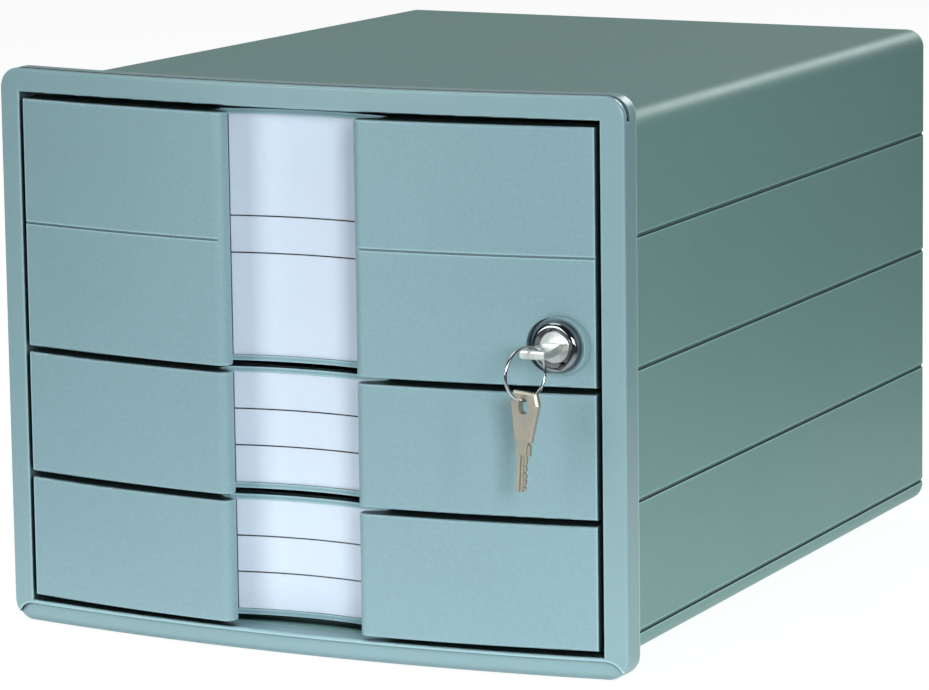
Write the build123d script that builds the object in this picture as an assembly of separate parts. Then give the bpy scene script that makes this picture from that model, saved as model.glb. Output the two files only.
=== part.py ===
from build123d import *
import math
import os

# A desktop file drawer: a moulded casing with a bowed front frame and three
# pull-out drawers. The top drawer is of double height and has a cam lock with
# its key in it; a ring through the key carries the spare key.
#
# Millimetres. X to the right, Y to the back, Z up, floor at Z = 0. The pieces
# are drawn with Y = 0 at the front corners of the frame and are moved at the
# end, so that the origin is below the middle of the whole object.

# --- Driving dimensions ---------------------------------------------------

# front frame
frame_width = 294.0
frame_height = 241.3
frame_bow = 13.0            # rise of the bowed front over the frame's width
frame_depth = 11.5
frame_corner = 9.0
frame_lift = 0.8            # frame's lower edge above the floor
side_margin = 10.3          # frame's width beside the opening
top_margin = 10.0
sill_height = 9.3           # frame's height below the opening
frame_edge_round = 1.2
opening_round = 0.6
skirt_height = 7.85         # stepped skirt along the lower front edge
skirt_inset = 1.5
skirt_step = 1.6
skirt_corner = 8.5
stack_groove_width = 3.0    # groove along the top edge, for a unit stacked on it
stack_groove_depth = 1.5
stack_groove_setback = 2.4
stack_groove_drop = 1.5     # how far the groove runs down below the corners
tongue_reach = 4.2          # side tongues that plug into the casing
tongue_margin = 16.0
tongue_clearance = 0.5

# casing, drafted towards the rear as it is moulded
casing_side_setback = 2.8   # casing's sides and top, behind the frame's edges
casing_top_setback = 8.0
casing_side_draft = 8.0     # how far each side and the top fall in to the rear
casing_top_draft = 3.0
casing_base = 7.2
casing_depth = 356.0        # from the frame's corners to the rear face
casing_corner = 8.0
casing_wall = 2.2
rear_wall = 2.6
rear_round = 1.2
side_groove_width = 1.7
side_groove_depth = 0.9
side_groove_height = 16.8   # lowest side groove, above the frame's lower edge
side_groove_pitch = 55.05
boss_diameter = 20.0
boss_height = 5.0
boss_inset_side = 30.0
boss_inset_front = 42.0
boss_inset_rear = 40.0

# foot pads
pad_diameter = 16.0
pad_plug_depth = 1.6
pad_clearance = 0.05
pad_bevel = 0.8

# drawers
drawer_gap = 2.7            # between two drawer fronts
side_gap = 2.2              # between a drawer front and the opening
sill_gap = 2.57
head_gap = 2.73             # above the top drawer's front
front_bow = 17.0            # rise of the drawers' bow over the frame's width
front_set = 0.67            # bow's ends behind the frame's front corners
front_wall = 2.6
front_edge_round = 0.8
mid_groove_width = 1.0
mid_groove_depth = 0.5

# finger recess in each drawer front
recess_mouth = 60.4
nose_round = 4.2
nose_land = 1.6
recess_width = 78.0
recess_lip_y = -5.5         # where the undercut ends
recess_floor_y = 4.9
recess_floor_radius = 147.0
label_width = 72.0
label_rim = 2.3
card_thickness = 0.35
cover_thickness = 0.8
label_clearance = 0.05

# trays
tray_side_inset = 4.4       # tray's sides behind its front's ends
tray_front_y = 9.5
tray_rear_gap = 15.4        # between a tray and the rear wall
tray_wall = 2.2
tray_corner = 2.6
tray_floor_round = 1.5
rear_notch_margin = 30.0
tray_lift = 2.9             # tray's underside above its front's lower edge
tray_drop = 5.0             # tray's rim below its front's upper edge
rear_rim_drop = 6.0
peg_x = 80.0
peg_diameter = 5.0
peg_clearance = 0.1
peg_inset = 11.0
peg_reach = 4.0

# runners and stops
runner_overlap = 6.5        # how far a runner reaches under its tray
runner_thickness = 2.4
runner_front_y = 20.0
runner_play = 0.25
stop_length = 6.0
stop_height = 3.6
stop_play = 0.3
stop_clearance = 0.7
ear_width = 2.9
ear_length = 10.0
ear_height = 6.0
ear_rear_inset = 21.7       # between the ears and the tray's rear end

# lock
lock_from_edge = 15.3       # lock's axis from the end of the drawer front
lock_above_edge = 17.2      # lock's axis above the top drawer's lower edge
seat_proud = 0.6
seat_diameter = 24.0
seat_flare = 2.4
bezel_diameter = 21.2
bezel_height = 4.8
bezel_round = 2.2
bezel_rim = 2.4
bezel_dish = 1.3
barrel_diameter = 14.4
barrel_clearance = 0.15
barrel_end_y = 14.7
plug_head_diameter = 13.4
plug_head_depth = 1.4
plug_diameter = 11.6
plug_clearance = 0.06
keyway_width = 7.5
keyway_height = 2.7
nut_across_flats = 16.2
nut_thickness = 2.6
nut_clearance = 0.05
cam_gap = 0.2
cam_thickness = 2.0
cam_width = 10.0
cam_bite = 3.8              # how far the turned cam reaches behind the tongue
cam_square = 7.0
cam_square_clearance = 0.08
cam_screw_head = 9.0
cam_screw_head_height = 2.4
cam_screw_shank = 3.9
cam_screw_slot = 1.0
cam_screw_bevel = 0.8
cam_screw_length = 3.6
cam_screw_clearance = 0.05
cam_slot_margin = 1.2
cam_slot_play = 0.7

# keys and ring
bow_length = 20.4
bow_end_width = 11.0
bow_wide_width = 13.8
bow_root_width = 8.0
bow_shoulder = 4.8
bow_thickness = 3.4
bow_bevel = 0.8
bow_hole_width = 4.6
bow_hole_length = 6.6
bow_hole_from_end = 5.7
neck_root_width = 6.2       # tapered neck between the bow and the blade
neck_end_width = 3.4
collar_width = 7.0          # thin shoulders beside the neck
collar_start = 1.2
collar_length = 5.7
collar_thickness = 1.4
blade_width = 4.2
blade_length = 15.2
blade_thickness = 2.2
blade_groove_width = 1.1    # along the middle of both faces
blade_groove_depth = 0.6
blade_step_width = 1.1      # thinner strip along the cut edge
blade_step_depth = 0.45
blade_tip_slope = 1.6
bit_depths = (0.9, 0.5, 1.1, 0.7)
bit_pitch = 2.8
bit_margin = 2.6            # first bit from the tip
key_standoff = 0.4
key_play = 0.2
ring_radius = 10.8
ring_wire = 1.3
ring_seam = 0.3
ring_yaw = 22.0             # ring's plane, turned from the front-to-back plane
ring_drop = 7.5
ring_lean = 6.9             # ring's centre in front of the key's hole
spare_turn = -8.0
spare_tilt = 3.5
spare_play = 0.45

# drawing aids
weld = 1.0                  # overlap of two solids that become one
lead = 5.0                  # run-in of a cutting band in front of a face
far = 60.0                  # well outside the front parts

# --- Sizes that follow -----------------------------------------------------

frame_bottom = frame_lift
frame_top = frame_lift + frame_height
opening_bottom = frame_bottom + sill_height
opening_top = frame_top - top_margin
opening_width = frame_width - 2 * side_margin
front_width = opening_width - 2 * side_gap
drawer_pitch = (opening_top - opening_bottom - sill_gap - head_gap + drawer_gap) / 4
lock_x = front_width / 2 - lock_from_edge
cam_reach = opening_width / 2 + cam_bite - lock_x

casing_front_width = frame_width - 2 * casing_side_setback
casing_rear_width = casing_front_width - 2 * casing_side_draft
casing_front_top = frame_height - casing_top_setback
casing_rear_top = casing_front_top - casing_top_draft

tray_width = front_width - 2 * tray_side_inset
tray_rear_y = casing_depth - rear_wall - tray_rear_gap
runner_inner_width = tray_width - 2 * runner_overlap
ear_rear_y = tray_rear_y - ear_rear_inset
drawer_travel = ear_rear_y - ear_length - stop_play - stop_length - runner_front_y


def bow_radius(chord, rise):
    """Radius of an arc from its chord and its rise."""
    return (chord * chord / 4 + rise * rise) / (2 * rise)


frame_radius = bow_radius(frame_width, frame_bow)
frame_centre_y = frame_radius - frame_bow
front_radius = bow_radius(frame_width, front_bow)
front_centre_y = front_radius - front_bow + front_set
recess_centre_y = recess_floor_y - recess_floor_radius
label_pocket = cover_thickness + card_thickness + 2 * label_clearance


def front_y(x):
    """Y of the drawers' bowed front surface at x."""
    return front_centre_y - math.sqrt(front_radius ** 2 - x * x)


def frame_rear_y(x):
    """Y of the frame's rear surface at x."""
    return frame_centre_y - math.sqrt((frame_radius - frame_depth) ** 2 - x * x)


def front_bottom(step):
    """Lower edge of the drawer front that stands on the given step."""
    return opening_bottom + sill_gap + step * drawer_pitch


single_height = drawer_pitch - drawer_gap
double_height = 2 * drawer_pitch - drawer_gap
drawers = {
    "bottom_drawer": (front_bottom(0), single_height),
    "middle_drawer": (front_bottom(1), single_height),
    "top_drawer": (front_bottom(2), double_height),
}
lock_z = front_bottom(2) + lock_above_edge
seat_y = front_y(lock_x) - seat_proud
plug_face_y = seat_y - bezel_height + bezel_dish
key_shoulder_y = plug_face_y - key_standoff
hole_y = key_shoulder_y - bow_length + bow_hole_from_end

# ring: its centre, and the direction of its plane
ring_way = Vector(-math.sin(math.radians(ring_yaw)), -math.cos(math.radians(ring_yaw)), 0)
ring_axis = Vector(math.cos(math.radians(ring_yaw)), -math.sin(math.radians(ring_yaw)), 0)
ring_centre = Vector(lock_x, hole_y, lock_z - ring_drop) + ring_way * ring_lean
ring_bottom = ring_centre - Vector(0, 0, ring_radius)

# the whole object reaches from the ring's front to the casing's rear
reach_front = ring_centre.Y - ring_radius * math.cos(math.radians(ring_yaw)) - ring_wire / 2
origin_shift = -(casing_depth + reach_front) / 2

# --- Helpers ----------------------------------------------------------------


def block(x0, x1, y0, y1, z0, z1):
    """A box between six planes."""
    size = (x1 - x0, y1 - y0, z1 - z0)
    return Pos((x0 + x1) / 2, (y0 + y1) / 2, (z0 + z1) / 2) * Box(*size)


def both_sides(piece):
    """A piece and its mirror image across the middle plane."""
    return piece + mirror(piece, about=Plane.YZ)


def bowed_band(width, radius, centre_y, depth, z0, z1):
    """A bowed slab, as wide as given, between two planes of Z."""
    ring = Pos(0, centre_y) * (Circle(radius) - Circle(radius - depth))
    strip = ring & Rectangle(width, 2 * far)
    return Pos(0, 0, z0) * extrude(strip, amount=z1 - z0)


def front_outline(width, z0, z1, radius, y0, y1):
    """An upright rounded rectangle, carried from y0 to y1."""
    shape = Plane.XZ * Pos(0, (z0 + z1) / 2) * RectangleRounded(width, z1 - z0, radius)
    return Pos(0, y1, 0) * extrude(shape, amount=y1 - y0)


def along_y(diameter, x, z, y0, y1):
    """A round bar from y0 to y1."""
    return Pos(x, y0, z) * Rot(-90, 0, 0) * Cylinder(
        diameter / 2, y1 - y0, align=(Align.CENTER, Align.CENTER, Align.MIN)
    )


def edges_at_front(piece, inner):
    """Edges round the foremost face, or round the opening in it."""
    face = piece.faces().sort_by(Axis.Y)[0]
    wires = face.inner_wires() if inner else [face.outer_wire()]
    return [edge for wire in wires for edge in wire.edges()]


# --- Casing -------------------------------------------------------------------


def casing_half_width(y):
    """The drafted casing's half width at y."""
    share = y / casing_depth
    return (casing_front_width + (casing_rear_width - casing_front_width) * share) / 2


def casing_top(y):
    """The drafted casing's top at y."""
    share = y / casing_depth
    return frame_bottom + casing_front_top + (casing_rear_top - casing_front_top) * share


def casing_body(inset, y0, y1):
    """The casing's drafted block between y0 and y1, drawn in by the inset."""
    base = frame_bottom + casing_base + inset
    half0, half1 = casing_half_width(y0) - inset, casing_half_width(y1) - inset
    top0, top1 = casing_top(y0) - inset, casing_top(y1) - inset
    plan = Polygon((-half0, y0), (half0, y0), (half1, y1), (-half1, y1), align=None)
    side = Plane.YZ * Polygon((y0, base), (y1, base), (y1, top1), (y0, top0), align=None)
    body = extrude(plan, amount=frame_height + far) & extrude(side, amount=frame_width, both=True)
    long_edges = body.edges().filter_by(lambda edge: edge.length > 0.95 * (y1 - y0) > abs(edge.center().X))
    return fillet(long_edges, casing_corner - inset)


def side_grooves():
    """Long grooves in both sides, one for each drawer step."""
    outside = casing_body(-weld, -lead, casing_depth + lead)
    rim = outside - casing_body(side_groove_depth, -lead, casing_depth + lead)
    slots = []
    for step in range(4):
        middle = frame_bottom + side_groove_height + step * side_groove_pitch
        low = middle - side_groove_width / 2
        slots.append(block(-frame_width, frame_width, -far, casing_depth + far, low, low + side_groove_width))
    return rim & Compound(children=slots)


def runners():
    """Runner ledges on both inner walls, with a stop at the front of each."""
    reach = casing_body(casing_wall / 2, runner_front_y, casing_depth - rear_wall / 2)
    ledges = Part()
    for bottom, _ in drawers.values():
        top = bottom + tray_lift - runner_play
        low = top - runner_thickness
        ledges += block(runner_inner_width / 2, frame_width, 0, casing_depth, low, top)
        stop_inner, stop_end = tray_width / 2 + stop_clearance, runner_front_y + stop_length
        ledges += block(stop_inner, frame_width, runner_front_y, stop_end, top - weld, top + stop_height)
    return both_sides(ledges) & reach


def foot_places():
    """Names and places of the four feet."""
    x = casing_rear_width / 2 - boss_inset_side
    front, rear = boss_inset_front, casing_depth - boss_inset_rear
    return {
        "front_left": (-x, front),
        "front_right": (x, front),
        "rear_left": (-x, rear),
        "rear_right": (x, rear),
    }


def casing_shell():
    """One-piece moulded casing, open to the front."""
    outer = casing_body(0, -2 * frame_bow, casing_depth)
    outer = fillet(outer.faces().sort_by(Axis.Y)[-1].edges(), rear_round)
    outer -= side_grooves()
    shell = outer - casing_body(casing_wall, -3 * frame_bow, casing_depth - rear_wall)
    shell += runners()
    ahead = Rectangle(2 * frame_width, 2 * far)
    ahead -= Pos(0, frame_centre_y) * Circle(frame_radius - frame_depth)
    shell -= extrude(ahead, amount=frame_height + far)
    base = frame_bottom + casing_base
    for x, y in foot_places().values():
        boss = Pos(x, y, base - boss_height) * Cylinder(
            boss_diameter / 2, boss_height + casing_wall / 2, align=(Align.CENTER, Align.CENTER, Align.MIN)
        )
        shell += boss
        shell -= Pos(x, y, base - boss_height) * Cylinder(
            pad_diameter / 2 + pad_clearance, pad_plug_depth, align=(Align.CENTER, Align.CENTER, Align.MIN)
        )
    return shell


def foot_pad(x, y):
    """Rubber pad, plugged into the boss above it."""
    height = frame_bottom + casing_base - boss_height + pad_plug_depth
    pad = Cylinder(pad_diameter / 2, height, align=(Align.CENTER, Align.CENTER, Align.MIN))
    pad = chamfer(pad.edges().group_by(Axis.Z)[0], pad_bevel)
    return Pos(x, y, 0) * pad


# --- Front frame ------------------------------------------------------------------


def front_frame():
    """Bowed frame round the drawers, with a stepped skirt and a top groove."""
    frame = bowed_band(frame_width + lead, frame_radius, frame_centre_y, frame_depth, -far, frame_top + far)
    frame &= front_outline(frame_width, frame_bottom, frame_top, frame_corner, -far, far)
    frame -= block(-opening_width / 2, opening_width / 2, -far, far, opening_bottom, opening_top)
    frame = fillet(edges_at_front(frame, inner=False), frame_edge_round)
    frame = fillet(edges_at_front(frame, inner=True), opening_round)
    frame -= skirt_recess()
    frame -= stacking_groove()
    return frame + both_sides(tongue())


def skirt_recess():
    """The step below the opening, with its rounded ends."""
    half = frame_width / 2 - skirt_inset
    top = frame_bottom + skirt_height
    outline = front_outline(2 * half, top - far, top, skirt_corner, -far, far)
    band = bowed_band(frame_width + lead, frame_radius + lead, frame_centre_y, lead + skirt_step, -far, far)
    return outline & band


def stacking_groove():
    """Groove along the top edge and round its two corners."""
    outside = frame_width + 2 * lead
    ring = front_outline(outside, frame_bottom - lead, frame_top + lead, frame_corner + lead, -far, far)
    inset = stack_groove_depth
    ring -= front_outline(
        frame_width - 2 * inset, frame_bottom + inset, frame_top - inset, frame_corner - inset, -far, far
    )
    band = bowed_band(
        outside,
        frame_radius - stack_groove_setback,
        frame_centre_y,
        stack_groove_width,
        frame_top - frame_corner - stack_groove_drop,
        frame_top + lead,
    )
    return ring & band


def tongue():
    """Side tongue that plugs into the casing and takes the lock's cam."""
    inner = opening_width / 2
    outer = casing_half_width(0) - casing_wall - tongue_clearance
    start = frame_rear_y(outer) - weld
    end = frame_rear_y(inner) + tongue_reach
    return block(inner, outer, start, end, opening_bottom + tongue_margin, opening_top - tongue_margin)


# --- Drawer fronts ------------------------------------------------------------------


def recess_plan():
    """Plan of the finger recess: a mouth, an undercut and a hollow floor."""
    mouth, deep = recess_mouth / 2, recess_width / 2
    land_y = front_y(mouth) + nose_round + nose_land
    floor_y = recess_centre_y + math.sqrt(recess_floor_radius ** 2 - deep * deep)
    right = [(mouth, -far), (mouth, land_y), (deep, recess_lip_y), (deep, floor_y)]
    left = [(-x, y) for x, y in reversed(right)]
    floor = ThreePointArc(right[-1], (0, recess_floor_y), left[0])
    return make_face([Polyline(*right), floor, Polyline(*left), Line(left[-1], right[0])])


def front_plan(back_y):
    """Plan of a drawer front with its recess, closed by a line at back_y."""
    slab = Pos(0, front_centre_y) * Circle(front_radius)
    slab = slab & (Pos(0, back_y - far) * Rectangle(front_width, 2 * far))
    plan = slab - recess_plan()
    mouth = recess_mouth / 2
    noses = [v for v in plan.vertices() if abs(abs(v.X) - mouth) < 0.01 and v.Y < front_y(mouth) + 0.1]
    return fillet(noses, nose_round)


def label_band(radius, thickness, width, z0, z1):
    """A piece of sheet that lies against the hollow floor of the recess."""
    ring = Pos(0, recess_centre_y) * (Circle(radius + thickness) - Circle(radius))
    strip = ring & (Pos(0, recess_floor_y) * Rectangle(width, 2 * far))
    return Pos(0, 0, z0) * extrude(strip, amount=z1 - z0)


def label_span(bottom, height):
    """Lower and upper edge of a drawer's label."""
    return bottom + label_rim, bottom + height - label_rim


def peg_places(bottom, height, locked):
    """Places of the pegs that hold a front on its tray."""
    low = bottom + tray_lift + peg_inset
    high = bottom + height - tray_drop - peg_inset
    places = [(side * peg_x, z) for side in (-1, 1) for z in (low, high)]
    if locked:
        places.append((-lock_x, low))
    return places


def drawer_front(bottom, height, locked):
    """Moulded drawer front, hollow behind, with its finger recess."""
    plan = front_plan(tray_front_y)
    front = Pos(0, 0, bottom) * extrude(plan, amount=height)
    rims = [edge for face in front.faces().filter_by(Axis.Z) for edge in face.edges()]
    outline = [edge for edge in rims if edge.center().Y < 0 and abs(edge.center().X) > label_width / 2]
    front = fillet(outline, front_edge_round)
    hollow = offset(front_plan(tray_front_y + 3 * front_wall), amount=-front_wall, kind=Kind.INTERSECTION)
    hollow = hollow & (Pos(0, tray_front_y - far) * Rectangle(frame_width, 2 * far))
    front -= Pos(0, 0, bottom + front_wall) * extrude(hollow, amount=height - 2 * front_wall)
    label_low, label_high = label_span(bottom, height)
    front -= label_band(recess_floor_radius, label_pocket, label_width, label_low, label_high)
    for x, z in peg_places(bottom, height, locked):
        start = front_y(x) + front_wall / 2
        front += along_y(peg_diameter, x, z, start, tray_front_y + peg_reach)
    if locked:
        front -= mid_groove(bottom + height / 2)
        front = lock_seat(front)
    return front


def mid_groove(z):
    """Shallow groove that divides the double front into two steps."""
    return bowed_band(
        frame_width,
        front_radius + lead,
        front_centre_y,
        lead + mid_groove_depth,
        z - mid_groove_width / 2,
        z + mid_groove_width / 2,
    )


def lock_seat(front):
    """Flat seat for the lock in the bowed front."""
    place = Pos(lock_x, seat_y, lock_z) * Rot(-90, 0, 0)
    base = (Align.CENTER, Align.CENTER, Align.MIN)
    top_radius = seat_diameter / 2
    depth = front_y(lock_x + top_radius) - seat_y + front_wall
    front += place * Cone(top_radius, top_radius + seat_flare, depth, align=base)
    front -= Pos(lock_x, seat_y - 6, lock_z) * Rot(-90, 0, 0) * Cone(
        top_radius + 2 * seat_flare, top_radius, 6, align=base
    )
    bore = barrel_diameter + 2 * barrel_clearance
    return front - along_y(bore, lock_x, lock_z, seat_y - 20, tray_front_y + 20)


def label_card(bottom, height):
    """Paper card behind the clear cover."""
    low, high = label_span(bottom, height)
    gap = label_clearance
    radius = recess_floor_radius + cover_thickness + gap
    return label_band(radius, card_thickness, label_width - 2 * gap, low + gap, high - gap)


def label_cover(bottom, height):
    """Clear cover, sprung into the recess over the card."""
    low, high = label_span(bottom, height)
    gap = label_clearance
    return label_band(recess_floor_radius, cover_thickness, label_width - 2 * gap, low + gap, high - gap)


# --- Trays ------------------------------------------------------------------------


def tray(bottom, height, locked):
    """Open tray with stop ears on its sides."""
    z0 = bottom + tray_lift
    z1 = bottom + height - tray_drop
    half = tray_width / 2
    body = block(-half, half, tray_front_y, tray_rear_y, z0, z1)
    body = fillet(body.edges().filter_by(Axis.Z), tray_corner)
    inside = half - tray_wall
    inner = block(
        -inside, inside, tray_front_y + tray_wall, tray_rear_y - tray_wall, z0 + tray_wall, z1 + 10
    )
    inner = fillet(inner.edges().filter_by(Axis.Z), tray_corner - tray_wall)
    inner = fillet(inner.faces().sort_by(Axis.Z)[0].edges(), tray_floor_round)
    body -= inner
    notch = half - rear_notch_margin
    body -= block(-notch, notch, tray_rear_y - 10, tray_rear_y + 10, z1 - rear_rim_drop, z1 + 10)
    ear_front = ear_rear_y - ear_length
    ear = block(half - weld, half + ear_width, ear_front, ear_rear_y, z0, z0 + ear_height)
    body += both_sides(ear)
    hole = peg_diameter + 2 * peg_clearance
    for x, z in peg_places(bottom, height, locked):
        body -= along_y(hole, x, z, tray_front_y - 5, tray_front_y + 5)
    if locked:
        bore = barrel_diameter + 2 * barrel_clearance
        body -= along_y(bore, lock_x, lock_z, tray_front_y - 5, tray_front_y + 5)
        body -= cam_slot()
    return body


def cam_slot():
    """Slot in the tray's right side, for the cam's swing."""
    half = tray_width / 2
    reach = cam_reach + cam_slot_margin
    inside = half - tray_wall - lock_x
    top = lock_z + math.sqrt(reach ** 2 - inside ** 2)
    low = lock_z - cam_width / 2 - cam_slot_margin
    y0 = cam_front_y() - cam_slot_play
    return block(half - 5, half + 5, y0, y0 + cam_thickness + 2 * cam_slot_play, low, top)


def cam_front_y():
    """Front face of the cam, just behind the lock's barrel."""
    return barrel_end_y + cam_gap


# --- Lock --------------------------------------------------------------------------


def lock_housing():
    """Chromed barrel with its dished bezel."""
    head = seat_y - bezel_height
    bezel = along_y(bezel_diameter, lock_x, lock_z, head, seat_y)
    bezel = fillet(bezel.edges().group_by(Axis.Y)[0], bezel_round)
    dish_radius = bezel_diameter / 2 - bezel_rim
    head_bore = plug_head_diameter / 2 + plug_clearance
    dish = Pos(lock_x, head, lock_z) * Rot(-90, 0, 0) * Cone(
        dish_radius, head_bore, bezel_dish, align=(Align.CENTER, Align.CENTER, Align.MIN)
    )
    body = bezel - dish + along_y(barrel_diameter, lock_x, lock_z, seat_y - 0.5, barrel_end_y)
    head_end = plug_face_y + plug_head_depth + plug_clearance
    body -= along_y(2 * head_bore, lock_x, lock_z, plug_face_y - 5, head_end)
    bore = plug_diameter + 2 * plug_clearance
    return body - along_y(bore, lock_x, lock_z, plug_face_y, barrel_end_y + 5)


def lock_nut():
    """Flat nut that clamps the front and the tray on the barrel."""
    y0 = tray_front_y + tray_wall
    hexagon = RegularPolygon(nut_across_flats / 2, 6, major_radius=False, rotation=30)
    nut = extrude(Plane.XZ * hexagon, amount=nut_thickness)
    nut = Pos(lock_x, y0 + nut_thickness, lock_z) * nut
    bore = barrel_diameter + 2 * nut_clearance
    return nut - along_y(bore, lock_x, lock_z, y0 - 5, y0 + 10)


def lock_plug():
    """Turning plug with its keyway and its square tail."""
    plug = along_y(plug_head_diameter, lock_x, lock_z, plug_face_y, plug_face_y + plug_head_depth)
    plug = chamfer(plug.edges().group_by(Axis.Y)[0], 0.3)
    tail_start = cam_front_y() - cam_gap / 2
    plug += along_y(plug_diameter, lock_x, lock_z, plug_face_y + plug_head_depth, tail_start)
    half = cam_square / 2
    tail_end = cam_front_y() + cam_thickness
    square = (lock_x - half, lock_x + half, tail_start, tail_end - cam_gap / 2, lock_z - half, lock_z + half)
    plug += block(*square)
    depth = key_shoulder_y + collar_length + key_play
    plug -= block(
        lock_x - keyway_width / 2,
        lock_x + keyway_width / 2,
        plug_face_y - 5,
        depth,
        lock_z - keyway_height / 2,
        lock_z + keyway_height / 2,
    )
    blade_slot = blade_width + 2 * key_play
    plug -= block(
        lock_x - blade_slot / 2,
        lock_x + blade_slot / 2,
        plug_face_y,
        key_shoulder_y + collar_length + blade_length + 2 * key_play,
        lock_z - keyway_height / 2,
        lock_z + keyway_height / 2,
    )
    screw_bore = cam_screw_shank + 2 * cam_screw_clearance
    return plug - along_y(screw_bore, lock_x, lock_z, tail_end - cam_screw_length - 0.3, tail_end + 5)


def lock_cam():
    """Flat cam on the plug's tail, upright when the drawer is unlocked."""
    y0 = cam_front_y()
    hub = along_y(cam_width + 5, lock_x, lock_z, y0, y0 + cam_thickness)
    arm = block(
        lock_x - cam_width / 2,
        lock_x + cam_width / 2,
        y0,
        y0 + cam_thickness,
        lock_z,
        lock_z + cam_reach - cam_width / 4,
    )
    end = arm.edges().filter_by(Axis.Y).group_by(Axis.Z)[-1]
    arm = fillet(end, cam_width / 4)
    half = cam_square / 2 + cam_square_clearance
    return hub + arm - block(lock_x - half, lock_x + half, y0 - 5, y0 + 10, lock_z - half, lock_z + half)


def cam_screw():
    """Screw that holds the cam on the plug."""
    y0 = cam_front_y() + cam_thickness
    head = along_y(cam_screw_head, lock_x, lock_z, y0, y0 + cam_screw_head_height)
    head = chamfer(head.edges().group_by(Axis.Y)[-1], cam_screw_bevel)
    slot_floor = y0 + cam_screw_head_height - cam_screw_slot
    slot = block(
        lock_x - cam_screw_head,
        lock_x + cam_screw_head,
        slot_floor,
        slot_floor + 5,
        lock_z - cam_screw_slot / 2,
        lock_z + cam_screw_slot / 2,
    )
    shank = along_y(cam_screw_shank, lock_x, lock_z, y0 - cam_screw_length, y0)
    return head - slot + shank


# --- Keys and ring ---------------------------------------------------------------------


def key():
    """A key along Y: bow to the front, shoulder at the origin, blade behind."""
    end, wide, root = bow_end_width / 2, bow_wide_width / 2, bow_root_width / 2
    bow = tapered_plate([(0, root), (bow_shoulder - bow_length, wide), (-bow_length, end)], bow_thickness)
    bow = chamfer(bow.faces().filter_by(Axis.Z).edges(), bow_bevel)
    slot = SlotCenterToCenter(bow_hole_length - bow_hole_width, bow_hole_width, rotation=90)
    hole = extrude(Pos(0, bow_hole_from_end - bow_length) * slot, amount=bow_thickness, both=True)
    neck = tapered_plate(
        [(-bow_bevel - weld, neck_root_width / 2), (collar_length, neck_end_width / 2)], blade_thickness
    )
    shoulder = collar_width / 2
    collar = tapered_plate([(collar_start, shoulder), (collar_length, shoulder)], collar_thickness)
    return bow - hole + neck + collar + key_blade()


def tapered_plate(stations, thickness):
    """A flat plate on the XY plane from pairs of Y and half width."""
    right = [(half, y) for y, half in stations]
    outline = right + [(-x, y) for x, y in reversed(right)]
    return extrude(Polygon(*outline, align=None), amount=thickness / 2, both=True)


def key_blade():
    """Blade with a cut edge, a groove along each face and a thinner strip."""
    half, tip = blade_width / 2, collar_length + blade_length
    corner = blade_tip_slope
    profile = [(-half, 0), (-half, tip - corner), (corner - half, tip), (half - corner, tip)]
    profile += [(half, tip - corner), (half, 0)]
    blade = extrude(Polygon(*profile, align=None), amount=blade_thickness / 2, both=True)
    for place, depth in enumerate(bit_depths):
        middle = tip - bit_margin - place * bit_pitch
        out, reach = half + bit_pitch / 4, bit_pitch / 2
        cut = Polygon((half - depth, middle), (out, middle - reach), (out, middle + reach), align=None)
        blade -= extrude(cut, amount=blade_thickness, both=True)
    groove = (-blade_groove_width / 2, blade_groove_width / 2, blade_groove_depth)
    step = (half - blade_step_width, half + weld, blade_step_depth)
    for x0, x1, depth in (groove, step):
        floor = blade_thickness / 2 - depth
        for low, high in ((floor, blade_thickness), (-blade_thickness, -floor)):
            blade -= block(x0, x1, collar_length, tip + weld, low, high)
    return blade


def key_ring():
    """Sprung wire ring with a narrow seam."""
    wire = Plane.XZ * Pos(ring_radius, 0) * Circle(ring_wire / 2)
    seam = math.degrees(ring_seam / ring_radius)
    ring = revolve(wire, Axis.Z, 360 - seam)
    place = Plane(origin=ring_centre, x_dir=(0, 0, -1), z_dir=ring_axis)
    return place * Rot(0, 0, 150) * ring


def spare_key():
    """Spare key, hung from the ring's lowest point."""
    rest = ring_wire / 2 + spare_play
    hole_top = bow_hole_from_end - bow_length - bow_hole_length / 2
    hang = Pos(0, -hole_top - rest, 0) * key()
    upright = Rot(0, spare_tilt, 0) * Rot(0, 0, spare_turn) * Rot(-90, 0, 0) * hang
    return Pos(*ring_bottom) * upright


# --- Build ---------------------------------------------------------------------------------

pieces = {"casing_shell": casing_shell(), "front_frame": front_frame()}
for name, (x, y) in foot_places().items():
    pieces["foot_pad_" + name] = foot_pad(x, y)
for name, (bottom, height) in drawers.items():
    locked = name == "top_drawer"
    pieces[name + "_tray"] = tray(bottom, height, locked)
    pieces[name + "_front"] = drawer_front(bottom, height, locked)
    pieces[name + "_label_card"] = label_card(bottom, height)
    pieces[name + "_label_cover"] = label_cover(bottom, height)
pieces["lock_housing"] = lock_housing()
pieces["lock_nut"] = lock_nut()
pieces["lock_plug"] = lock_plug()
pieces["lock_cam"] = lock_cam()
pieces["cam_screw"] = cam_screw()
pieces["inserted_key"] = Pos(lock_x, key_shoulder_y, lock_z) * key()
pieces["key_ring"] = key_ring()
pieces["spare_key"] = spare_key()

os.makedirs("parts", exist_ok=True)
for name, piece in pieces.items():
    placed = Pos(0, origin_shift, 0) * piece
    export_step(placed, f"parts/{name}.step")
    box = placed.bounding_box()
    print(f"{name:28s} {len(placed.solids())} solid(s)  {placed.volume:12.1f} mm3  {box.min} {box.max}")
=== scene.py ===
import bmesh
import bpy
import math
from mathutils import Matrix, Vector


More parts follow.
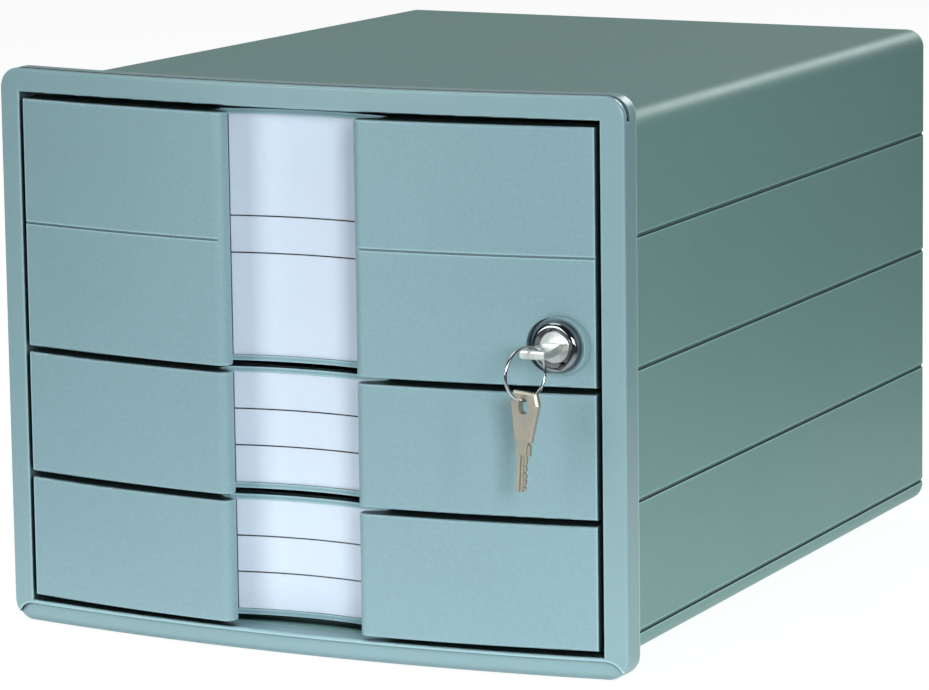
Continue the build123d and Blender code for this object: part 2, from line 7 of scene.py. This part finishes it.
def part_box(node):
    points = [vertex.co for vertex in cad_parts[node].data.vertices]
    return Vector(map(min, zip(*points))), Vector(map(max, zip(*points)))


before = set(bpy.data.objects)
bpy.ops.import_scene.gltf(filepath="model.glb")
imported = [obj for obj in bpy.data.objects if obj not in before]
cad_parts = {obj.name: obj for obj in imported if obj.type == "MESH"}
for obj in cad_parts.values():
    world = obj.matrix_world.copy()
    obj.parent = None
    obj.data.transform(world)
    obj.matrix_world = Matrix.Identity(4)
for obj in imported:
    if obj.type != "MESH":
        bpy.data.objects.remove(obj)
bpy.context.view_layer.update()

# --- Studio ---------------------------------------------------------------------------
# A white floor and backdrop. A glowing sheet under the box lights its lower half, as a
# light table does; past the sheet and in front the room is dark, which chrome mirrors.

scene = bpy.context.scene
scene.view_settings.view_transform = "Standard"


def node_material(name):
    """An empty node material, with its tree and its output."""
    material = bpy.data.materials.new(name)
    material.use_nodes = True
    material.node_tree.nodes.clear()
    output = material.node_tree.nodes.new("ShaderNodeOutputMaterial")
    return material, material.node_tree, output


def add_node(tree, kind, **inputs):
    """A node with some of its inputs set by name."""
    node = tree.nodes.new(kind)
    for name, value in inputs.items():
        node.inputs[name.replace("_", " ")].default_value = value
    return node


def maths(tree, operation, *terms):
    """A sum on numbers and on the outputs of other nodes."""
    node = tree.nodes.new("ShaderNodeMath")
    node.operation = operation
    for socket, term in zip(node.inputs, terms):
        if isinstance(term, float):
            socket.default_value = term
        else:
            tree.links.new(term, socket)
    return node.outputs[0]


def map_range(tree, value, *limits):
    """A value carried from the range of the first two limits to that of the last two."""
    node = tree.nodes.new("ShaderNodeMapRange")
    for end, limit in zip(("From Min", "From Max", "To Min", "To Max"), limits):
        node.inputs[end].default_value = limit
    tree.links.new(value, node.inputs["Value"])
    return node


floor_reach = 6.0
floor_mesh = bmesh.new()
bmesh.ops.create_grid(floor_mesh, x_segments=1, y_segments=1, size=floor_reach)
floor_data = bpy.data.meshes.new("studio_floor")
floor_mesh.to_mesh(floor_data)
floor_mesh.free()
floor = bpy.data.objects.new("studio_floor", floor_data)
scene.collection.objects.link(floor)

box_half_width, box_half_depth = 0.147, 0.198
sheet_full_to, sheet_ends_at = 0.04, 0.42

floor_white, tree, output = node_material("studio_floor_white")
place = tree.nodes.new("ShaderNodeTexCoord")
split = tree.nodes.new("ShaderNodeSeparateXYZ")
tree.links.new(place.outputs["Object"], split.inputs[0])


def beyond(axis, half):
    """How far a point of the floor lies outside the box's footprint."""
    outside = maths(tree, "SUBTRACT", maths(tree, "ABSOLUTE", split.outputs[axis]), half)
    return maths(tree, "MAXIMUM", outside, 0.0)


apart = tree.nodes.new("ShaderNodeCombineXYZ")
tree.links.new(beyond("X", box_half_width), apart.inputs[0])
tree.links.new(beyond("Y", box_half_depth), apart.inputs[1])
reach = tree.nodes.new("ShaderNodeVectorMath")
reach.operation = "LENGTH"
tree.links.new(apart.outputs[0], reach.inputs[0])
sheet = map_range(tree, reach.outputs["Value"], sheet_full_to, sheet_ends_at, 1.0, 0.0)
sheet.interpolation_type = "SMOOTHSTEP"
dim = add_node(tree, "ShaderNodeBsdfDiffuse", Color=(0.10, 0.11, 0.11, 1))
painted = add_node(tree, "ShaderNodeBsdfDiffuse", Color=(0.86, 0.87, 0.88, 1))
lit = add_node(tree, "ShaderNodeEmission", Color=(0.98, 1, 0.98, 1), Strength=0.47)
lit_sheet = tree.nodes.new("ShaderNodeAddShader")
tree.links.new(painted.outputs[0], lit_sheet.inputs[0])
tree.links.new(lit.outputs[0], lit_sheet.inputs[1])
unseen = tree.nodes.new("ShaderNodeMixShader")
tree.links.new(sheet.outputs[0], unseen.inputs[0])
tree.links.new(dim.outputs[0], unseen.inputs[1])
tree.links.new(lit_sheet.outputs[0], unseen.inputs[2])

# The camera sees the floor white, with a part of the paint that keeps the box's shadow.

white = add_node(tree, "ShaderNodeEmission", Color=(1, 1, 1, 1), Strength=1.18)
in_view = add_node(tree, "ShaderNodeMixShader", Fac=0.78)
tree.links.new(painted.outputs[0], in_view.inputs[1])
tree.links.new(white.outputs[0], in_view.inputs[2])
seen = tree.nodes.new("ShaderNodeLightPath")
blend = tree.nodes.new("ShaderNodeMixShader")
tree.links.new(seen.outputs["Is Camera Ray"], blend.inputs[0])
tree.links.new(unseen.outputs[0], blend.inputs[1])
tree.links.new(in_view.outputs[0], blend.inputs[2])
tree.links.new(blend.outputs[0], output.inputs["Surface"])
floor_data.materials.append(floor_white)

# The camera sees a white backdrop; metal and gloss see it paler behind and dark in front.

world = bpy.data.worlds.new("studio_world")
scene.world = world
world.use_nodes = True
tree = world.node_tree
tree.nodes.clear()
output = tree.nodes.new("ShaderNodeOutputWorld")
ambient = add_node(tree, "ShaderNodeBackground", Color=(0.94, 0.99, 1.0, 1), Strength=0.03)
mirrored = add_node(tree, "ShaderNodeBackground", Strength=1.0)
backdrop = add_node(tree, "ShaderNodeBackground", Color=(1, 1, 1, 1), Strength=1.0)
direction = tree.nodes.new("ShaderNodeTexCoord")
split = tree.nodes.new("ShaderNodeSeparateXYZ")
tree.links.new(direction.outputs["Generated"], split.inputs[0])
behind = map_range(tree, split.outputs["Y"], -0.15, 0.35, 0.04, 0.3)
tree.links.new(behind.outputs[0], mirrored.inputs["Color"])
path = tree.nodes.new("ShaderNodeLightPath")
light_or_mirror = tree.nodes.new("ShaderNodeMixShader")
world_seen = tree.nodes.new("ShaderNodeMixShader")
gloss = maths(tree, "MAXIMUM", path.outputs["Is Glossy Ray"], path.outputs["Is Transmission Ray"])
tree.links.new(gloss, light_or_mirror.inputs[0])
tree.links.new(ambient.outputs[0], light_or_mirror.inputs[1])
tree.links.new(mirrored.outputs[0], light_or_mirror.inputs[2])
tree.links.new(path.outputs["Is Camera Ray"], world_seen.inputs[0])
tree.links.new(light_or_mirror.outputs[0], world_seen.inputs[1])
tree.links.new(backdrop.outputs[0], world_seen.inputs[2])
tree.links.new(world_seen.outputs[0], output.inputs["Surface"])

# Softboxes at each side of the camera, overhead and behind, and a narrow strip at the right
# that draws the bright lines on the edges. The right-hand one throws the keys' shadows.

lamp_aim = Vector((0, 0, 0.12))


def softbox(name, azimuth, elevation, distance, size, level, colour):
    """An area lamp aimed at the box; a level of 1 shows a facing colour as it is written."""
    lamp = bpy.data.lights.new(name, "AREA")
    lamp.shape = "RECTANGLE"
    lamp.size, lamp.size_y = size
    lamp.energy = level * math.pi ** 2 * distance ** 2
    lamp.color = colour
    holder = bpy.data.objects.new(name, lamp)
    scene.collection.objects.link(holder)
    side, rise = math.radians(azimuth), math.radians(elevation)
    level_reach = math.cos(rise)
    way = Vector((math.sin(side) * level_reach, -math.cos(side) * level_reach, math.sin(rise)))
    holder.location = lamp_aim + way * distance
    holder.rotation_euler = way.to_track_quat("Z", "Y").to_euler()
    holder.visible_camera = False


softbox("softbox_right", 38, 13, 1.9, (0.4, 0.55), 0.45, (0.91, 1.0, 1.0))
softbox("strip_right", 62, 12, 1.8, (0.12, 0.7), 0.09, (0.93, 1.0, 0.98))
softbox("softbox_left", -22, 12, 2.0, (0.9, 0.9), 0.31, (0.88, 0.98, 1.0))
softbox("softbox_top", -62, 70, 2.2, (1.3, 1.3), 0.30, (0.96, 1.0, 0.98))
softbox("softbox_rear", 168, 29, 2.2, (0.9, 0.7), 0.27, (0.93, 1.0, 0.96))

# The camera stands to the right of the front and a little above it, with a long lens.

camera_data = bpy.data.cameras.new("camera")
camera = bpy.data.objects.new("camera", camera_data)
scene.collection.objects.link(camera)
scene.camera = camera
photo_width = 929
focal_pixels = 4971.9
camera_data.sensor_width = 36.0
camera_data.lens = focal_pixels * camera_data.sensor_width / photo_width
camera_data.clip_end = 20.0
camera_yaw, camera_pitch, camera_roll = 26.765, 9.975, -0.781
camera.location = (0.9813, -1.9565, 0.4905)
turn = Matrix.Rotation(math.radians(camera_yaw), 4, "Z")
turn @= Matrix.Rotation(math.radians(90 - camera_pitch), 4, "X")
turn @= Matrix.Rotation(math.radians(camera_roll), 4, "Z")
camera.rotation_euler = turn.to_euler()

# --- Casing ---------------------------------------------------------------------------
# One drafted moulding in grey plastic, open to the front, with long grooves in its sides.
# It has a fine eroded grain all over, which gives it a dull sheen.

grain_depth = 0.0002
# How far the painted gap shade and the painted edge highlight reach.
gap_reach, edge_reach = 0.0045, 0.0011


def moulded_plastic(name, colour, roughness, grain, mottle=0.05, sheen=0.5):
    """Moulded plastic or rubber: a fine grain, uneven gloss, a painted highlight on its edges,
    painted shade in its gaps.
    """
    material, tree, output = node_material(name)
    skin = add_node(tree, "ShaderNodeBsdfPrincipled", IOR=1.45, Specular_IOR_Level=sheen)
    place = tree.nodes.new("ShaderNodeTexCoord")

    def noise(scale, detail, roughness_of_noise=0.5):
        texture = add_node(tree, "ShaderNodeTexNoise", Scale=scale, Detail=detail)
        texture.inputs["Roughness"].default_value = roughness_of_noise
        tree.links.new(place.outputs["Object"], texture.inputs["Vector"])
        return texture.outputs["Fac"]

    clouds, speckles = noise(9.0, 2.0), noise(650.0, 2.0, 0.7)
    mottling = maths(tree, "MULTIPLY_ADD", clouds, 0.45, speckles)
    ramp = tree.nodes.new("ShaderNodeValToRGB")
    ramp.color_ramp.elements[0].position = 0.52
    ramp.color_ramp.elements[1].position = 0.94
    ramp.color_ramp.elements[0].color = (*[c * (1 - mottle) for c in colour], 1)
    ramp.color_ramp.elements[1].color = (*[c * (1 + mottle) for c in colour], 1)
    tree.links.new(mottling, ramp.inputs[0])
    # Painted shade: the colour darkens to near black where other surfaces lie close, as in the
    # gaps between the drawers and the frame.
    gap = add_node(tree, "ShaderNodeAmbientOcclusion", Distance=gap_reach)
    gap.samples = 6
    painted_gap_shade = map_range(tree, gap.outputs["AO"], 0.45, 0.85, 0.03, 1.0)
    # Painted highlight: the colour is made up to 1.7 times paler on convex edges, in place of the
    # lamps' gleam on their rounds.
    edge = add_node(tree, "ShaderNodeAmbientOcclusion", Distance=edge_reach)
    edge.inside = True
    edge.samples = 6
    painted_edge_highlight = map_range(tree, edge.outputs["AO"], 0.55, 0.92, 1.7, 1.0)
    painted_light_and_shade = maths(tree, "MULTIPLY", painted_gap_shade.outputs[0], painted_edge_highlight.outputs[0])
    painted_light_colour = tree.nodes.new("ShaderNodeVectorMath")
    painted_light_colour.operation = "SCALE"
    tree.links.new(ramp.outputs[0], painted_light_colour.inputs[0])
    tree.links.new(painted_light_and_shade, painted_light_colour.inputs["Scale"])
    tree.links.new(painted_light_colour.outputs[0], skin.inputs["Base Color"])
    uneven = map_range(tree, noise(60.0, 3.0), 0.0, 1.0, roughness - 0.05, roughness + 0.05)
    tree.links.new(uneven.outputs[0], skin.inputs["Roughness"])
    relief = add_node(tree, "ShaderNodeBump", Strength=grain, Distance=grain_depth)
    tree.links.new(noise(1500.0, 1.0), relief.inputs["Height"])
    tree.links.new(relief.outputs[0], skin.inputs["Normal"])
    tree.links.new(skin.outputs[0], output.inputs["Surface"])
    return material


def finish_node(name, material):
    """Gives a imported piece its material."""
    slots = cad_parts[name].data.materials
    slots.clear()
    slots.append(material)


# Painted shade: the casing's grey is darker and greener than the same plastic of the frame, for
# the dimmer light on its top and sides.
casing_grey_painted_shade = (0.208, 0.360, 0.343)
finish_node("casing_shell", moulded_plastic("casing_plastic", casing_grey_painted_shade, 0.47, 0.25))

# --- Front frame ----------------------------------------------------------------------
# A bowed frame of the same plastic, polished smooth, which is plugged on the casing.

frame_grey = (0.278, 0.416, 0.450)
frame_plastic = moulded_plastic("frame_plastic", frame_grey, 0.3, 0.05, mottle=0.02, sheen=0.6)
finish_node("front_frame", frame_plastic)

# --- Feet -----------------------------------------------------------------------------
# Four round pads of black rubber, plugged in bosses under the casing.

rubber_black = (0.018, 0.018, 0.019)
rubber = moulded_plastic("foot_rubber", rubber_black, 0.75, 0.4, mottle=0.1)
for corner in ("front_left", "front_right", "rear_left", "rear_right"):
    finish_node("foot_pad_" + corner, rubber)

# --- Drawer trays and fronts ----------------------------------------------------------
# The trays are plain mouldings. Each front is a separate moulding with a satin grain,
# hooked on its tray, and has a finger recess with rounded noses in the middle.

tray_grey = (0.28, 0.385, 0.375)
front_grey = (0.272, 0.408, 0.452)
tray_plastic = moulded_plastic("tray_plastic", tray_grey, 0.5, 0.15)
front_plastic = moulded_plastic("front_plastic", front_grey, 0.38, 0.15, sheen=0.6)
drawers = ("bottom_drawer", "middle_drawer", "top_drawer")
for drawer in drawers:
    finish_node(drawer + "_tray", tray_plastic)
    finish_node(drawer + "_front", front_plastic)

# --- Labels ---------------------------------------------------------------------------
# A white paper card with printed rules lies in each recess, under a sprung sheet of clear
# plastic. The rules are black and just over half a millimetre wide.

millimetre = 0.001
rule_width = 0.6 * millimetre
printing_black = (0.012, 0.012, 0.014, 1)
fibre_depth = 0.0001
rule_heights = {
    "bottom_drawer": (15.9, 31.6),
    "middle_drawer": (15.9, 31.6),
    "top_drawer": (43.5, 59.2),
}


def paper_card(name, rules):
    """White card with fine fibres and black rules at the given heights."""
    material, tree, output = node_material(name)
    paper = add_node(tree, "ShaderNodeBsdfPrincipled", Roughness=0.65)
    place = tree.nodes.new("ShaderNodeTexCoord")
    split = tree.nodes.new("ShaderNodeSeparateXYZ")
    tree.links.new(place.outputs["Object"], split.inputs[0])
    fibres = add_node(tree, "ShaderNodeTexNoise", Scale=420.0, Detail=4.0, Roughness=0.65)
    tree.links.new(place.outputs["Object"], fibres.inputs["Vector"])
    ramp = tree.nodes.new("ShaderNodeValToRGB")
    ramp.color_ramp.elements[0].color = (0.80, 0.84, 0.97, 1)
    ramp.color_ramp.elements[1].color = (0.88, 0.91, 1.0, 1)
    tree.links.new(fibres.outputs["Fac"], ramp.inputs[0])
    colour = ramp.outputs[0]
    for height in rules:
        on_rule = maths(tree, "COMPARE", split.outputs["Z"], height, rule_width / 2)
        print_over = tree.nodes.new("ShaderNodeMix")
        print_over.data_type = "RGBA"
        tree.links.new(on_rule, print_over.inputs["Factor"])
        tree.links.new(colour, print_over.inputs["A"])
        print_over.inputs["B"].default_value = printing_black
        colour = print_over.outputs["Result"]
    tree.links.new(colour, paper.inputs["Base Color"])
    relief = add_node(tree, "ShaderNodeBump", Strength=0.2, Distance=fibre_depth)
    tree.links.new(fibres.outputs["Fac"], relief.inputs["Height"])
    tree.links.new(relief.outputs[0], paper.inputs["Normal"])
    tree.links.new(paper.outputs[0], output.inputs["Surface"])
    return material


# The clear sheet lets the card through and shines more where it is seen at a slant.

clear_sheet, tree, output = node_material("clear_sheet")
through = add_node(tree, "ShaderNodeBsdfTransparent", Color=(0.99, 0.995, 1.0, 1))
shine = add_node(tree, "ShaderNodeBsdfGlossy", Color=(1, 1, 1, 1), Roughness=0.12)
glance = add_node(tree, "ShaderNodeFresnel", IOR=1.45)
side_met = tree.nodes.new("ShaderNodeNewGeometry")
outer_face = maths(tree, "SUBTRACT", 1.0, side_met.outputs["Backfacing"])
outer_shine = maths(tree, "MULTIPLY", glance.outputs[0], outer_face)
blend = tree.nodes.new("ShaderNodeMixShader")
tree.links.new(outer_shine, blend.inputs[0])
tree.links.new(through.outputs[0], blend.inputs[1])
tree.links.new(shine.outputs[0], blend.inputs[2])
tree.links.new(blend.outputs[0], output.inputs["Surface"])

for drawer in drawers:
    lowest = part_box(drawer + "_label_card")[0].z
    heights = [lowest + rule * millimetre for rule in rule_heights[drawer]]
    finish_node(drawer + "_label_card", paper_card(drawer + "_card_paper", heights))
    finish_node(drawer + "_label_cover", clear_sheet)

# --- Lock -----------------------------------------------------------------------------
# A cam lock: a chromed barrel with a dished bezel, a nickelled plug with the keyway, and
# zinc-plated steel for the nut, the cam and its screw inside the drawer.

scratch_scale = (900, 900, 260)
scratch_depth = 0.00005


def bare_metal(name, colour, roughness, scratches, uneven=0.04, metallic=1.0):
    """Plated or bare metal with fine scratches and uneven gloss."""
    material, tree, output = node_material(name)
    metal = add_node(tree, "ShaderNodeBsdfPrincipled", Metallic=metallic)
    place = tree.nodes.new("ShaderNodeTexCoord")
    streaks = tree.nodes.new("ShaderNodeMapping")
    streaks.inputs["Scale"].default_value = scratch_scale
    tree.links.new(place.outputs["Object"], streaks.inputs["Vector"])
    noise = add_node(tree, "ShaderNodeTexNoise", Scale=1.6, Detail=3.0)
    tree.links.new(streaks.outputs[0], noise.inputs["Vector"])
    glossiest = max(roughness - uneven, 0.02)
    gloss = map_range(tree, noise.outputs["Fac"], 0.0, 1.0, glossiest, roughness + uneven)
    tree.links.new(gloss.outputs[0], metal.inputs["Roughness"])
    ramp = tree.nodes.new("ShaderNodeValToRGB")
    ramp.color_ramp.elements[0].position = 0.3
    ramp.color_ramp.elements[1].position = 0.7
    ramp.color_ramp.elements[0].color = (*[c * 0.86 for c in colour], 1)
    ramp.color_ramp.elements[1].color = (*colour, 1)
    tree.links.new(noise.outputs["Fac"], ramp.inputs[0])
    tree.links.new(ramp.outputs[0], metal.inputs["Base Color"])
    relief = add_node(tree, "ShaderNodeBump", Strength=scratches, Distance=scratch_depth)
    tree.links.new(noise.outputs["Fac"], relief.inputs["Height"])
    tree.links.new(relief.outputs[0], metal.inputs["Normal"])
    tree.links.new(metal.outputs[0], output.inputs["Surface"])
    return material


# Painted shade: the chrome's colour is darker than bright chrome, so that the panels it mirrors
# show near black and only the lamps stay white.
painted_dark_chrome = (0.30, 0.31, 0.33)
plug_nickel = (0.86, 0.86, 0.84)
zinc_grey = (0.56, 0.56, 0.54)
zinc = bare_metal("zinc_plated_steel", zinc_grey, 0.32, 0.3)
finish_node("lock_housing", bare_metal("lock_chrome", painted_dark_chrome, 0.05, 0.02, uneven=0.02))
finish_node("lock_plug", bare_metal("plug_nickel", plug_nickel, 0.33, 0.08))
for name in ("lock_nut", "lock_cam", "cam_screw"):
    finish_node(name, zinc)

# --- Keys and ring --------------------------------------------------------------------
# Two stamped keys in dull nickelled brass, one in the lock, and a ring of bright steel wire
# that carries the spare key. The key in the lock has its nickel painted paler than the spare's,
# a painted highlight for the light its faces reflect.

dull_nickel = (0.56, 0.50, 0.415)
# Painted highlight: a paler copy of the key nickel for the key in the lock.
painted_highlight_nickel = (0.88, 0.86, 0.82)
wire_steel = (0.62, 0.63, 0.64)
spare_finish = bare_metal("key_nickel", dull_nickel, 0.42, 0.5, uneven=0.08, metallic=0.85)
painted_highlight_key_finish = bare_metal("painted_highlight_key_nickel", painted_highlight_nickel, 0.38, 0.3, uneven=0.06, metallic=0.85)
finish_node("inserted_key", painted_highlight_key_finish)
finish_node("spare_key", spare_finish)
finish_node("key_ring", bare_metal("ring_steel", wire_steel, 0.12, 0.1))
